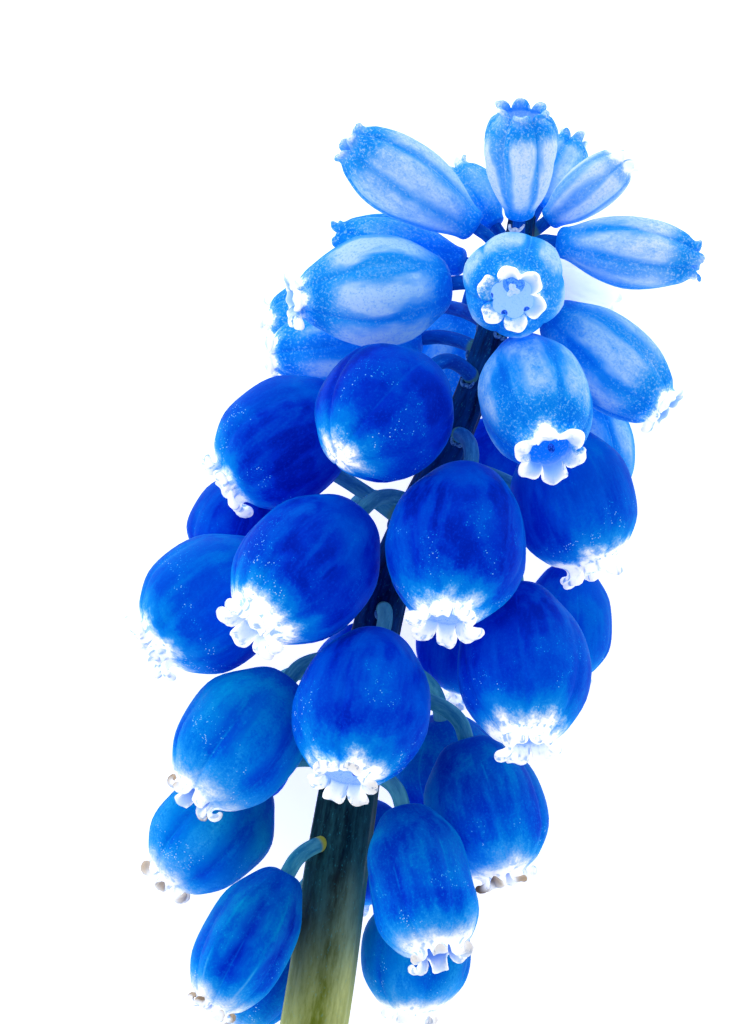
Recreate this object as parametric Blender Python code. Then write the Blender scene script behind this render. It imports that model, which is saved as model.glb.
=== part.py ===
"""Grape hyacinth flower, picked and laid down: a raceme of nodding bells on its cut stem.

X runs across the raceme, +Y along it towards its tip, +Z up from the ground that it lies on.
The origin is on the ground, under the middle of the whole flower.
"""
import math

import bpy
import numpy as np

MM = 0.001  # every size below is in millimetres

AXIS_HEIGHT = 6.1  # of the raceme's own stem above the ground
ORIGIN = np.array((0.7, -19.1, 0.0))  # where the origin is, in the places below

# The stem, from its cut end to its tip: x, y, height of its middle, and its radius there.
STEM_ROUTE = (
    (-7.6, -50.0, 1.08, 1.06),
    (-6.2, -41.0, 2.4, 1.06),
    (-4.7, -32.0, 3.9, 1.05),
    (-3.2, -23.5, 5.2, 1.04),
    (-1.7, -15.0, AXIS_HEIGHT - 0.1, 1.00),
    (-0.9, -9.5, AXIS_HEIGHT, 0.92),
    (0.4, -2.4, AXIS_HEIGHT, 0.68),
    (2.8, 3.1, AXIS_HEIGHT, 0.50),
    (4.2, 7.4, AXIS_HEIGHT, 0.45),
    (4.5, 8.9, AXIS_HEIGHT + 0.1, 0.40),
)
STEM_SIDES = 12
STEM_RINGS = 3  # from one point of the route to the next
STEM_MARKS = 12  # finer marks along the same stretches, which pedicels grow from

PEDICEL_RADIUS = 0.34
PEDICEL_SIDES = 6
PEDICEL_STEPS = 4
PEDICEL_ARCH = 0.28  # how far its ends keep their direction, as a part of its span
PEDICEL_RISE = 0.3  # how much it leans up the stem where it leaves it
BELL_GAP = 0.3  # from the end of a pedicel to the bell that hangs on it
UP_THE_RACEME = np.array((0.30, 0.954, 0.0))

# How far up the stem a pedicel leaves it, measured from the foot of its bell.
PEDICEL_LIFT = {"crown": -0.7, "young": 0.2, "closed": 0.5, "ripe": 0.8, "spent": 1.0}

# One bell in each line: its age, where its foot is, where its mouth is, and its girth.
# Places are x, y and height above or below the axis of the raceme.
BELLS = (
    ("crown", (4.4, 8.5, 0.4), (4.4, 11.2, 2.5), 2.1),
    ("crown", (5.0, 9.2, -1.0), (6.1, 11.3, -1.6), 1.7),
    ("crown", (5.2, 8.7, -0.2), (7.6, 10.6, 0.2), 1.6),
    ("crown", (5.5, 8.1, 0.3), (9.8, 7.5, 0.5), 2.2),
    ("crown", (3.1, 8.5, 0.5), (-0.8, 11.1, 1.1), 2.4),
    ("crown", (3.7, 8.6, -0.8), (2.5, 10.4, -1.5), 1.6),
    ("crown", (2.8, 7.5, -1.0), (-1.2, 8.3, -1.6), 2.0),
    ("crown", (5.1, 7.4, -1.6), (7.3, 6.6, -3.2), 1.8),
    ("young", (4.3, 7.0, 1.4), (4.1, 6.0, 5.5), 3.1),
    ("young", (4.4, 5.1, 1.4), (5.2, 1.8, 4.5), 3.4),
    ("young", (2.3, 6.8, 0.6), (-2.4, 6.3, 1.4), 3.5),
    ("young", (0.8, 6.2, -3.3), (-3.3, 5.7, -4.0), 2.6),
    ("young", (1.5, 5.3, -1.2), (-3.2, 4.8, -1.6), 2.4),
    ("young", (5.3, 6.0, -0.2), (8.8, 3.0, 0.4), 2.8),
    ("young", (6.5, 3.6, -2.4), (7.1, 0.3, -3.0), 2.4),
    ("young", (2.7, 6.5, -2.9), (2.1, 3.1, -4.4), 2.9),
    ("closed", (1.8, 3.8, 2.0), (-0.9, 1.2, 4.5), 4.1),
    ("ripe", (-0.4, -0.1, 2.4), (-3.6, -3.5, 4.2), 4.1),
    ("ripe", (2.6, 1.5, 2.6), (2.0, -3.1, 5.2), 4.2),
    ("ripe", (4.2, -2.1, 1.8), (4.6, -6.9, 3.6), 3.9),
    ("ripe", (0.2, -3.7, 2.3), (-0.9, -7.9, 5.2), 4.1),
    ("ripe", (-0.6, 3.3, 1.0), (-4.2, 0.8, 0.8), 3.8),
    ("ripe", (-3.1, 0.8, -2.7), (-4.2, -2.1, -3.1), 2.9),
    ("ripe", (-2.9, -1.3, 0.0), (-6.6, -4.0, 0.4), 4.0),
    ("ripe", (4.5, 2.1, 0.5), (5.3, -2.1, 1.1), 3.8),
    ("ripe", (6.0, -1.6, -2.3), (5.8, -5.2, -2.7), 2.8),
    ("ripe", (3.9, 2.8, -3.5), (3.2, -0.8, -4.4), 3.5),
    ("ripe", (-0.9, -0.4, -3.4), (-2.2, -3.3, -4.2), 3.6),
    ("ripe", (-0.1, -3.0, -3.3), (-0.4, -6.1, -4.3), 3.3),
    ("ripe", (2.9, -2.3, -3.5), (2.8, -5.7, -4.5), 3.3),
    ("spent", (-2.5, -5.0, 1.2), (-5.4, -8.6, 2.2), 3.7),
    ("spent", (-3.4, -8.0, -1.6), (-6.3, -11.2, -1.8), 3.4),
    ("spent", (2.8, -6.8, 0.2), (4.0, -11.1, 0.5), 3.6),
    ("spent", (-2.3, -10.8, 1.0), (-4.7, -14.9, 1.5), 2.9),
    ("spent", (0.9, -8.8, 2.2), (2.0, -13.2, 3.9), 3.2),
    ("spent", (1.5, -11.4, -1.2), (1.1, -15.3, -1.6), 3.3),
    ("spent", (-2.2, -11.9, -1.5), (-4.0, -15.7, -2.2), 2.7),
    ("spent", (-3.3, -5.9, -3.0), (-4.6, -8.8, -4.3), 3.2),
    ("spent", (2.1, -6.3, -3.2), (2.5, -9.6, -4.4), 3.3),
    ("spent", (-0.2, -8.9, -3.4), (-0.1, -12.0, -4.6), 3.1),
)
RESTING_BELLS = (16, 38, 39)  # counted from one: the three under it that carry the raceme

# The outline of a bell: its half width at each stretch of its length, as a part of half its girth.
STRETCHES = (0.0, 0.10, 0.28, 0.50, 0.71, 0.87, 0.93)
WIDTHS = {
    "crown": (0.18, 0.50, 0.82, 1.00, 0.96, 0.76, 0.60),
    "young": (0.20, 0.58, 0.90, 1.00, 0.92, 0.68, 0.50),
    "closed": (0.20, 0.60, 0.92, 1.00, 0.86, 0.54, 0.34),
    "ripe": (0.20, 0.60, 0.90, 1.00, 0.95, 0.68, 0.47),
    "spent": (0.20, 0.60, 0.92, 1.00, 0.93, 0.66, 0.44),
}
LOBE_REACH = {"crown": 0.66, "young": 0.66, "closed": 0.30, "ripe": 0.60, "spent": 0.58}
LOBES = 6
RIM_BACK = (0.955, 0.985)  # the stretch of the rim's back at a notch between lobes, and at a lobe
RIM_FACE = (0.975, 1.0)  # the same on the inner face of the rim
MOUTH_WIDTHS = (0.70, 0.76, 0.86)  # of that face at a notch, a shoulder and a tip, for a neck of 1
HOLLOW_FLOOR = (0.82, 0.6)  # the floor of the mouth's hollow: its stretch, and its width for that neck
PISTIL_TIP = 0.88  # the stretch of the cone on that floor
BELL_SIDES = 12
GOLDEN_ANGLE = math.radians(137.5)  # from one bell's lobes to the next one's

# Balls that fill a bell, as a stretch of its length and a part of half its girth.
BALL_STRETCHES = np.array((0.14, 0.30, 0.50, 0.70, 0.90))
BALL_WIDTHS = np.array((0.38, 0.78, 1.00, 0.88, 0.52))
EASE_ROUNDS = 400
EASE_SHARE = np.array((0.09, 0.09, 0.25))  # bells give way up and down more than sideways
CLEARANCE = 0.15  # between the balls of one bell and another, and half of it to the ground

# Colour and roughness of the stem, and of the bells of each age.
FINISHES = {
    "stem": ((0.10, 0.20, 0.10), 0.5),
    "crown": ((0.27, 0.50, 0.93), 0.45),
    "young": ((0.10, 0.30, 0.90), 0.45),
    "closed": ((0.01, 0.03, 0.55), 0.4),
    "ripe": ((0.01, 0.05, 0.60), 0.4),
    "spent": ((0.01, 0.08, 0.66), 0.4),
}


def unit(vector):
    return vector / np.linalg.norm(vector)


def smooth_run(points, steps):
    """A Catmull-Rom run through the points, with so many steps from each to the next."""
    ends = [2 * points[0] - points[1], *points, 2 * points[-1] - points[-2]]
    run = []
    for a, b, c, d in zip(ends, ends[1:], ends[2:], ends[3:]):
        for t in np.arange(steps) / steps:
            bend = (2 * a - 5 * b + 4 * c - d) * t ** 2 + (3 * b - a - 3 * c + d) * t ** 3
            run.append(b + ((c - a) * t + bend) / 2)
    return np.array(run + [points[-1]])


def stem_run(steps):
    """The middle of the stem and its radius, from the cut end to the tip."""
    run = smooth_run([np.array(row) for row in STEM_ROUTE], steps)
    return run[:, :3], run[:, 3]


def side_directions(axis):
    """Two directions square to an axis, the first of them level."""
    level = unit(np.cross((0.0, 0.0, 1.0), axis))
    return level, np.cross(axis, level)


def circle(middle, radius, level, rise, turns):
    """Points round a middle, at the given turns from one direction towards the other."""
    return [middle + radius * (math.cos(turn) * level + math.sin(turn) * rise) for turn in turns]


def tube(run, radii, sides):
    """Rings round a run of points, each square to the run there."""
    turns = [2 * math.pi * side / sides for side in range(sides)]
    headings = [unit(heading) for heading in np.gradient(run, axis=0)]
    level, _ = side_directions(headings[0])
    rings = []
    for middle, radius, heading in zip(run, radii, headings):
        level = unit(level - heading * level.dot(heading))
        rings.append(circle(middle, radius, level, np.cross(heading, level), turns))
    return rings


def bridge(low, high):
    """Faces between two rings of point numbers, where either may have twice the other's points."""
    faces = []
    for k in range(min(len(low), len(high))):
        n = (k + 1) % min(len(low), len(high))
        if len(low) == len(high):
            faces.append((low[k], low[n], high[n], high[k]))
        elif len(low) < len(high):
            first, middle, last = high[2 * k], high[2 * k + 1], high[2 * n]
            faces += [(low[k], middle, first), (low[k], low[n], middle), (low[n], last, middle)]
        else:
            first, middle, last = low[2 * k], low[2 * k + 1], low[2 * n]
            faces += [(first, middle, high[k]), (middle, high[n], high[k]), (middle, last, high[n])]
    return faces


def closed_body(rings, tip=None):
    """Points and faces of a body through rings, flat at its first ring, flat or pointed at its last."""
    points = [point for ring in rings for point in ring]
    starts = np.cumsum([0] + [len(ring) for ring in rings])
    numbers = [list(range(low, high)) for low, high in zip(starts, starts[1:])]
    faces = [tuple(reversed(numbers[0]))]
    for low, high in zip(numbers, numbers[1:]):
        faces += bridge(low, high)
    last = numbers[-1]
    if tip is None:
        return points, faces + [tuple(last)]
    fan = [(a, b, len(points)) for a, b in zip(last, last[1:] + last[:1])]
    return points + [tip], faces + fan


def add_object(name, points, faces, material, collection):
    mesh = bpy.data.meshes.new(name)
    mesh.from_pydata([tuple((point - ORIGIN) * MM) for point in points], [], faces)
    mesh.materials.append(material)
    mesh.shade_smooth()
    obj = bpy.data.objects.new(name, mesh)
    collection.objects.link(obj)
    return obj


def add_material(name, colour, roughness):
    material = bpy.data.materials.new(name)
    material.use_nodes = True
    shader = material.node_tree.nodes["Principled BSDF"]
    shader.inputs["Base Color"].default_value = (*colour, 1.0)
    shader.inputs["Roughness"].default_value = roughness
    shader.inputs["Metallic"].default_value = 0.0
    return material


def pedicel_run(age, foot, mouth, marks):
    """An arch from the middle of the stem to just short of a bell's foot."""
    axis = unit(mouth - foot)
    end = foot - axis * BELL_GAP
    aim = foot + UP_THE_RACEME * PEDICEL_LIFT[age]
    root = marks[np.argmin(np.linalg.norm(marks - aim, axis=1))]
    span = end - root
    outward = unit(span - UP_THE_RACEME * span.dot(UP_THE_RACEME))
    reach = PEDICEL_ARCH * np.linalg.norm(span)
    leave = root + reach * (outward + PEDICEL_RISE * UP_THE_RACEME)
    arrive = end - reach * axis
    t = np.linspace(0, 1, PEDICEL_STEPS + 1)[:, None]
    s = 1 - t
    return root * s ** 3 + leave * 3 * t * s ** 2 + arrive * 3 * t ** 2 * s + end * t ** 3


def overlap_push(balls, reach, owners, posts, post_reach, post_owners):
    """For each ball, the way out of the posts of other owners that it overlaps, half way."""
    apart = balls[:, None] - posts[None]
    distance = np.maximum(np.linalg.norm(apart, axis=2), 1e-6)
    overlap = np.maximum(reach[:, None] + post_reach[None] - distance, 0)
    overlap[owners[:, None] == post_owners[None]] = 0
    return (apart / distance[..., None] * overlap[..., None] / 2).sum(axis=1)


def eased_bells():
    """The feet and mouths of the bells, eased off one another, off the stem and off the ground."""
    marks, mark_radii = stem_run(STEM_MARKS)
    lift = np.array((0.0, 0.0, AXIS_HEIGHT))
    feet = np.array([row[1] for row in BELLS]) + lift
    mouths = np.array([row[2] for row in BELLS]) + lift
    lengths = np.linalg.norm(mouths - feet, axis=1)[:, None]
    stretch = BALL_STRETCHES[None, :, None]
    reach = np.outer([row[3] / 2 for row in BELLS], BALL_WIDTHS).ravel() + CLEARANCE / 2
    owners = np.repeat(np.arange(len(BELLS)), len(BALL_STRETCHES))
    post_owners = np.concatenate((np.full(len(marks), -1), np.repeat(range(len(BELLS)), PEDICEL_STEPS)))
    pedicel_radii = np.full(len(BELLS) * PEDICEL_STEPS, PEDICEL_RADIUS)
    post_reach = np.concatenate((mark_radii, pedicel_radii)) + 2 * CLEARANCE
    for _ in range(EASE_ROUNDS):
        arches = [pedicel_run(row[0], foot, mouth, marks)[1:]
                  for row, foot, mouth in zip(BELLS, feet, mouths)]
        posts = np.concatenate((marks, *arches))
        balls = (feet[:, None] + (mouths - feet)[:, None] * stretch).reshape(-1, 3)
        push = overlap_push(balls, reach, owners, balls, reach, owners)
        push += 2 * overlap_push(balls, reach, owners, posts, post_reach, post_owners)
        push[:, 2] += 2 * np.maximum(reach - balls[:, 2], 0)
        push = (push * EASE_SHARE).reshape(len(BELLS), -1, 3)
        feet = feet + (push * (1 - stretch)).sum(axis=1)
        mouths = mouths + (push * stretch).sum(axis=1)
        axes = (mouths - feet) / np.linalg.norm(mouths - feet, axis=1)[:, None]
        mouths = feet + axes * lengths
    return feet, mouths


def bell_body(number, foot, mouth):
    """Points and faces of one bell: an urn whose flared rim of lobes stands round a small hollow."""
    age, girth = BELLS[number][0], BELLS[number][3]
    level, rise = side_directions(unit(mouth - foot))
    first = GOLDEN_ANGLE * number
    turns = [first + 2 * math.pi * side / BELL_SIDES for side in range(BELL_SIDES)]
    lobe_turns = [first + math.pi * side / BELL_SIDES for side in range(2 * BELL_SIDES)]

    def ring(stretch, width):
        return circle(foot + stretch * (mouth - foot), width * girth / 2, level, rise, turns)

    def lobe_ring(stretches, widths):
        """One point in each notch between lobes, then a shoulder, a tip and a shoulder round a lobe."""
        notch, lobe = stretches
        at_notch, at_shoulder, at_tip = widths
        steps = ((notch, at_notch), (lobe, at_shoulder), (lobe, at_tip), (lobe, at_shoulder)) * LOBES
        return [circle(foot + stretch * (mouth - foot), width * girth / 2, level, rise, [turn])[0]
                for (stretch, width), turn in zip(steps, lobe_turns)]

    neck, reach = WIDTHS[age][-1], LOBE_REACH[age]
    back_widths = (neck, (neck + reach) / 2, reach)
    face_widths = [neck * width for width in MOUTH_WIDTHS]
    rings = [ring(stretch, width) for stretch, width in zip(STRETCHES, WIDTHS[age])]
    rings.append(lobe_ring(RIM_BACK, back_widths))
    rings.append(lobe_ring(RIM_FACE, face_widths))
    rings.append(ring(HOLLOW_FLOOR[0], neck * HOLLOW_FLOOR[1]))
    return closed_body(rings, tip=foot + PISTIL_TIP * (mouth - foot))


def add_stem(feet, mouths, material):
    """The stem, with a pedicel for each bell joined to it as one body."""
    scene = bpy.context.scene.collection
    run, radii = stem_run(STEM_RINGS)
    stem = add_object("flower_stem", *closed_body(tube(run, radii, STEM_SIDES)), material, scene)
    marks, _ = stem_run(STEM_MARKS)
    pedicels = bpy.data.collections.new("pedicels")
    scene.children.link(pedicels)
    for (age, *_), foot, mouth in zip(BELLS, feet, mouths):
        arch = pedicel_run(age, foot, mouth, marks)
        rings = tube(arch, [PEDICEL_RADIUS] * len(arch), PEDICEL_SIDES)
        add_object("pedicel", *closed_body(rings), material, pedicels)
    union = stem.modifiers.new("pedicels", "BOOLEAN")
    union.operation = "UNION"
    union.operand_type = "COLLECTION"
    union.collection = pedicels
    union.solver = "EXACT"
    joined = stem.evaluated_get(bpy.context.evaluated_depsgraph_get())
    joined_mesh = bpy.data.meshes.new_from_object(joined)
    stem.modifiers.clear()
    stem.data = joined_mesh
    for pedicel in list(pedicels.objects):
        bpy.data.objects.remove(pedicel)
    bpy.data.collections.remove(pedicels)


def build():
    for obj in list(bpy.data.objects):
        bpy.data.objects.remove(obj)
    materials = {name: add_material(name, *finish) for name, finish in FINISHES.items()}
    feet, mouths = eased_bells()
    for number in RESTING_BELLS:
        points, _ = bell_body(number - 1, feet[number - 1], mouths[number - 1])
        drop = min(point[2] for point in points)
        feet[number - 1][2] -= drop
        mouths[number - 1][2] -= drop
    add_stem(feet, mouths, materials["stem"])
    for k, row in enumerate(BELLS):
        points, faces = bell_body(k, feet[k], mouths[k])
        add_object(f"floret_{k + 1:02d}", points, faces, materials[row[0]], bpy.context.scene.collection)


build()
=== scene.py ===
"""The looks of a grape hyacinth flower, picked and laid down on a pale floor.

Sizes are in millimetres, and colours are linear. X runs across the raceme, +Y along it to its tip.
"""
import math
from functools import reduce

import bpy
import numpy as np
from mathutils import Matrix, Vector


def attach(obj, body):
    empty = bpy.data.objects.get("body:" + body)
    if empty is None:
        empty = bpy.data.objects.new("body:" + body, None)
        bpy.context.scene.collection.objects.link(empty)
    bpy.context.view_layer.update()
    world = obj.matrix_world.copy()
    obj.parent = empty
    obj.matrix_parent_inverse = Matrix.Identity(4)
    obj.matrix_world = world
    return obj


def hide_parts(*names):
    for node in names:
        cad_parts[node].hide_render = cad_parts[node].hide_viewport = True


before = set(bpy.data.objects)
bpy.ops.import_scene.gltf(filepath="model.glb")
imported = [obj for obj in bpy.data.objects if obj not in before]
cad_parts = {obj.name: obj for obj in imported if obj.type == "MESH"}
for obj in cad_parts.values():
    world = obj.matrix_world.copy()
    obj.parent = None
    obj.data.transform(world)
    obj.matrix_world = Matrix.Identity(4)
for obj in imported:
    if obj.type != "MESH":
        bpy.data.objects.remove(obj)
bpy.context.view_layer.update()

# The cut stem: a juicy round stalk, olive green below and nearly black navy among the flowers.
# It is one piece from its cut end to its tip, finely ribbed along its length, with its fibres
# showing as pale streaks.
MM = 0.001
AXIS_HEIGHT = 6.1  # of the raceme's own stem above the ground
ORIGIN = np.array((0.7, -19.1, 0.0))  # where the origin is, in the places below
STEM_ROUTE = (  # x, y, height and radius, from the cut end to the tip
    (-7.6, -50.0, 1.08, 1.06),
    (-6.2, -41.0, 2.4, 1.06),
    (-4.7, -32.0, 3.9, 1.05),
    (-3.2, -23.5, 5.2, 1.04),
    (-1.7, -15.0, AXIS_HEIGHT - 0.1, 1.0),
    (-0.9, -9.5, AXIS_HEIGHT, 0.92),
    (0.4, -2.4, AXIS_HEIGHT, 0.68),
    (2.8, 3.1, AXIS_HEIGHT, 0.5),
    (4.2, 7.4, AXIS_HEIGHT, 0.45),
    (4.5, 8.9, AXIS_HEIGHT + 0.1, 0.4),
)
STEM_SIDES = 64
STEM_RINGS = 16  # from one point of the route to the next
STEM_RIBS = ((9, 0.022), (14, 0.012), (23, 0.006))  # how many, and how high for a radius of 1
STEM_TIP = 0.25  # how far the rounded tip stands out past the last ring
CREST = 0.7  # the tip's last ring: its share of that reach, and of the radius there
CUT_SINK = 0.06  # how deep the pith has sunk in the cut end
CUT_RIM = 0.9  # where the pith begins, for a radius of 1


def unit(vector):
    return vector / np.linalg.norm(vector)


def smooth_run(points, steps):
    """A smooth run through the points, with so many steps from each to the next."""
    ends = [2 * points[0] - points[1], *points, 2 * points[-1] - points[-2]]
    run = []
    for a, b, c, d in zip(ends, ends[1:], ends[2:], ends[3:]):
        for t in np.arange(steps) / steps:
            bend = (2 * a - 5 * b + 4 * c - d) * t ** 2 + (3 * b - a - 3 * c + d) * t ** 3
            run.append(b + ((c - a) * t + bend) / 2)
    return np.array(run + [points[-1]])


def stem_run(steps):
    """The middle of the stem and its radius, from the cut end to the tip."""
    run = smooth_run([np.array(row) for row in STEM_ROUTE], steps)
    return run[:, :3], run[:, 3]


def side_directions(axis):
    """Two directions square to an axis, the first of them level."""
    level = unit(np.cross((0.0, 0.0, 1.0), axis))
    return level, np.cross(axis, level)


def even_turns(sides):
    """Turns evenly round a circle."""
    return 2 * np.pi * np.arange(sides) / sides


def tube_rings(run, radii, sides):
    """Rings round a run of points; radii holds one for each ring, or for each point of each ring."""
    turns = even_turns(sides)
    headings = [unit(heading) for heading in np.gradient(run, axis=0)]
    level, _ = side_directions(headings[0])
    rings = []
    for middle, radius, heading in zip(run, radii, headings):
        level = unit(level - heading * level.dot(heading))
        spokes = np.outer(np.cos(turns), level) + np.outer(np.sin(turns), np.cross(heading, level))
        rings.append(middle + np.reshape(radius, (-1, 1)) * spokes)
    return np.array(rings)


def skin_faces(rows, columns, first_point=0):
    """Four-sided faces between rows of points that run round a closed form."""
    numbers = np.arange(rows * columns).reshape(rows, columns) + first_point
    after = np.roll(numbers, -1, axis=1)
    sides = np.stack((numbers[:-1], after[:-1], after[1:], numbers[1:]), axis=-1)
    return [tuple(face) for face in sides.reshape(-1, 4).tolist()]


def closed_skin(rings, low_pole, high_pole):
    """Points and faces of a closed form through rings, with a point in the middle of each end."""
    rows, columns = rings.shape[:2]
    points = np.concatenate((rings.reshape(-1, 3), [low_pole, high_pole]))
    low, high = rows * columns, rows * columns + 1
    last = high - 1 - columns
    faces = skin_faces(rows, columns)
    for k in range(columns):
        n = (k + 1) % columns
        faces.append((low, n, k))
        faces.append((high, last + k, last + n))
    return points, faces


def lengths_along(run):
    """How far along a run each of its points is."""
    return np.concatenate(([0.0], np.cumsum(np.linalg.norm(np.diff(run, axis=0), axis=1))))


def stalk_place(radii, along, sides):
    """The place on a stalk's own skin, for the points of its rings and for the middle of each end."""
    turns = even_turns(sides)
    levels = np.repeat(along[:, None], sides, axis=1)
    place = np.stack((np.outer(radii, np.cos(turns)), np.outer(radii, np.sin(turns)), levels), axis=-1)
    return np.concatenate((place.reshape(-1, 3), [(0, 0, along[0]), (0, 0, along[-1])]))


def add_piece(name, points, faces, material, values):
    """An object from points in millimetres, riding on the flower, with values kept at its points."""
    mesh = bpy.data.meshes.new(name)
    mesh.from_pydata(((points - ORIGIN) * MM).tolist(), [], faces)
    mesh.materials.append(material)
    for key, kept in values.items():
        kept = np.asarray(kept, dtype=np.float32)
        kind, field = ("FLOAT_VECTOR", "vector") if kept.ndim == 2 else ("FLOAT", "value")
        mesh.attributes.new(key, kind, "POINT").data.foreach_set(field, kept.ravel())
    mesh.shade_smooth()
    mesh.update()
    obj = bpy.data.objects.new(name, mesh)
    bpy.context.scene.collection.objects.link(obj)
    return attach(obj, "root")


def add_node(kind, inputs, tree=None, **settings):
    """A shader node; each input is a socket, whose tree the node then joins, or a value."""
    linked = {key: value for key, value in inputs.items() if isinstance(value, bpy.types.NodeSocket)}
    tree = tree or next(iter(linked.values())).id_data
    node = tree.nodes.new("ShaderNode" + kind)
    for key, value in settings.items():
        setattr(node, key, value)
    for key, value in inputs.items():
        if key in linked:
            tree.links.new(value, node.inputs[key])
        else:
            node.inputs[key].default_value = value
    return node


def kept_value(tree, name):
    """A value kept at the mesh's points."""
    return add_node("Attribute", {}, tree, attribute_name=name).outputs["Fac"]


def kept_place(tree):
    """The place on a piece's own skin, in millimetres, kept at the mesh's points."""
    return add_node("Attribute", {}, tree, attribute_name="place").outputs["Vector"]


def noise(place, scale, detail=2.0, stretch=(1.0, 1.0, 1.0), roughness=0.5):
    """Cloudy noise with so many waves in a millimetre, drawn out where stretch is low."""
    mapped = add_node("Mapping", {"Vector": place, "Scale": stretch}).outputs[0]
    settings = {"Vector": mapped, "Scale": scale, "Detail": detail, "Roughness": roughness}
    return add_node("TexNoise", settings).outputs[0]


def maths(operation, *values):
    return add_node("Math", dict(enumerate(values)), operation=operation).outputs[0]


def added(*values):
    return reduce(lambda first, second: maths("ADD", first, second), values)


def multiplied(*values):
    return reduce(lambda first, second: maths("MULTIPLY", first, second), values)


def off_middle(value, amount):
    """How far a noise is from its middle, times an amount."""
    return multiplied(maths("SUBTRACT", value, 0.5), amount)


def ramp(value, low, high, to_low=0.0, to_high=1.0):
    """A value carried smoothly from one stretch to another and held at its ends."""
    inputs = {"Value": value, "From Min": low, "From Max": high, "To Min": to_low, "To Max": to_high}
    return add_node("MapRange", inputs, interpolation_type="SMOOTHSTEP").outputs[0]


def blend(share, first, second, way="MIX"):
    """One colour over another; each is a socket or three numbers."""
    inputs = {0: share}
    for place, colour in ((6, first), (7, second)):
        inputs[place] = (*colour, 1.0) if isinstance(colour, tuple) else colour
    return add_node("Mix", inputs, data_type="RGBA", blend_type=way).outputs[2]


def start_material(name, **settings):
    """A material with its plain shader, whose constant settings are given by name."""
    material = bpy.data.materials.new(name)
    material.use_nodes = True
    tree = material.node_tree
    shader = tree.nodes["Principled BSDF"]
    for key, value in settings.items():
        shader.inputs[key.replace("_", " ").title().replace("Ior", "IOR")].default_value = value
    return material, tree, shader


def bump(shader, height, strength, distance):
    """Fine relief of so many millimetres."""
    inputs = {"Height": height, "Strength": strength, "Distance": distance * MM}
    height.id_data.links.new(add_node("Bump", inputs).outputs[0], shader.inputs["Normal"])


def start_group(name, inputs):
    """A shader node group with named inputs, each with its usual value."""
    tree = bpy.data.node_groups.new(name, "ShaderNodeTree")
    for label, value in inputs.items():
        socket = tree.interface.new_socket(label, in_out="INPUT", socket_type="NodeSocketFloat")
        socket.default_value = value
    return tree, tree.nodes.new("NodeGroupInput").outputs


def end_group(tree, results):
    """Give a group its named outputs."""
    for label in results:
        tree.interface.new_socket(label, in_out="OUTPUT", socket_type="NodeSocketFloat")
    outputs = tree.nodes.new("NodeGroupOutput").inputs
    for label, result in results.items():
        tree.links.new(result, outputs[label])
    return tree


def use_group(tree, group, values):
    node = tree.nodes.new("ShaderNodeGroup")
    node.node_tree = group
    for label, value in values.items():
        node.inputs[label].default_value = value
    return node.outputs


def make_fibres():
    """Fibres that run along a stalk: pale streaks, dark grooves between them and fine cells."""
    tree, given = start_group("stalk_fibres", {"Reach": 1.0})
    place = kept_place(tree)
    wide = noise(place, 1.8, 4.0, (1.0, 1.0, 0.12), 0.6)
    fine = noise(place, 8.0, 3.0, (1.0, 1.0, 0.22), 0.7)
    cells = noise(place, 16.0, 2.0, (1.0, 1.0, 0.45), 0.7)
    both = added(multiplied(wide, 0.6), multiplied(fine, 0.4))
    spread = added(off_middle(both, given["Reach"]), 0.5)
    return end_group(tree, {"Streak": ramp(spread, 0.32, 0.7), "Fleck": ramp(cells, 0.6, 0.74),
                            "Height": maths("MULTIPLY_ADD", cells, 0.25, both)})


STALK_FIBRES = make_fibres()


def stem_material():
    material, tree, shader = start_material(
        "stem_skin", roughness=0.5, specular_ior_level=0.03, sheen_weight=0.08, sheen_roughness=0.3,
        sheen_tint=(0.06, 0.5, 0.62, 1.0))
    up = kept_value(tree, "up")
    fibres = use_group(tree, STALK_FIBRES, {"Reach": 1.3})
    patches = noise(kept_place(tree), 0.35, 2.0, (1.0, 1.0, 0.35))
    height = added(off_middle(patches, 9.0), up)
    # Painted rim light: the stem is painted lighter towards both its flanks, most on its lower stretch.
    aside = maths("ABSOLUTE", added(kept_value(tree, "across"), 0.15))
    painted_rim_light = multiplied(ramp(aside, 0.2, 1.0), ramp(up, -12.5, -9.5, 1.0, 0.25), 0.6)
    light = maths("MULTIPLY_ADD", fibres["Streak"], 0.5, painted_rim_light)
    olive = blend(light, (0.15, 0.2, 0.015), (0.62, 0.7, 0.28))
    teal = blend(light, (0.0, 0.008, 0.024), (0.03, 0.17, 0.19))
    navy = blend(fibres["Streak"], (0.0, 0.007, 0.045), (0.0, 0.06, 0.24))
    low = blend(ramp(height, -15.8, -11.3), olive, teal)
    whole = blend(ramp(height, -9.0, -2.0), low, navy)
    flecked = blend(multiplied(fibres["Fleck"], 0.25), whole, (0.04, 0.5, 0.62))
    pith = noise(kept_place(tree), 3.2)
    end_colour = blend(ramp(pith, 0.46, 0.6), (0.38, 0.46, 0.2), (0.66, 0.72, 0.45))
    colour = blend(kept_value(tree, "cut"), flecked, end_colour)
    tree.links.new(colour, shader.inputs["Base Color"])
    tree.links.new(ramp(fibres["Streak"], 0.0, 1.0, 0.42, 0.58), shader.inputs["Roughness"])
    bump(shader, fibres["Height"], 0.5, 0.05)
    return material


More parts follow.
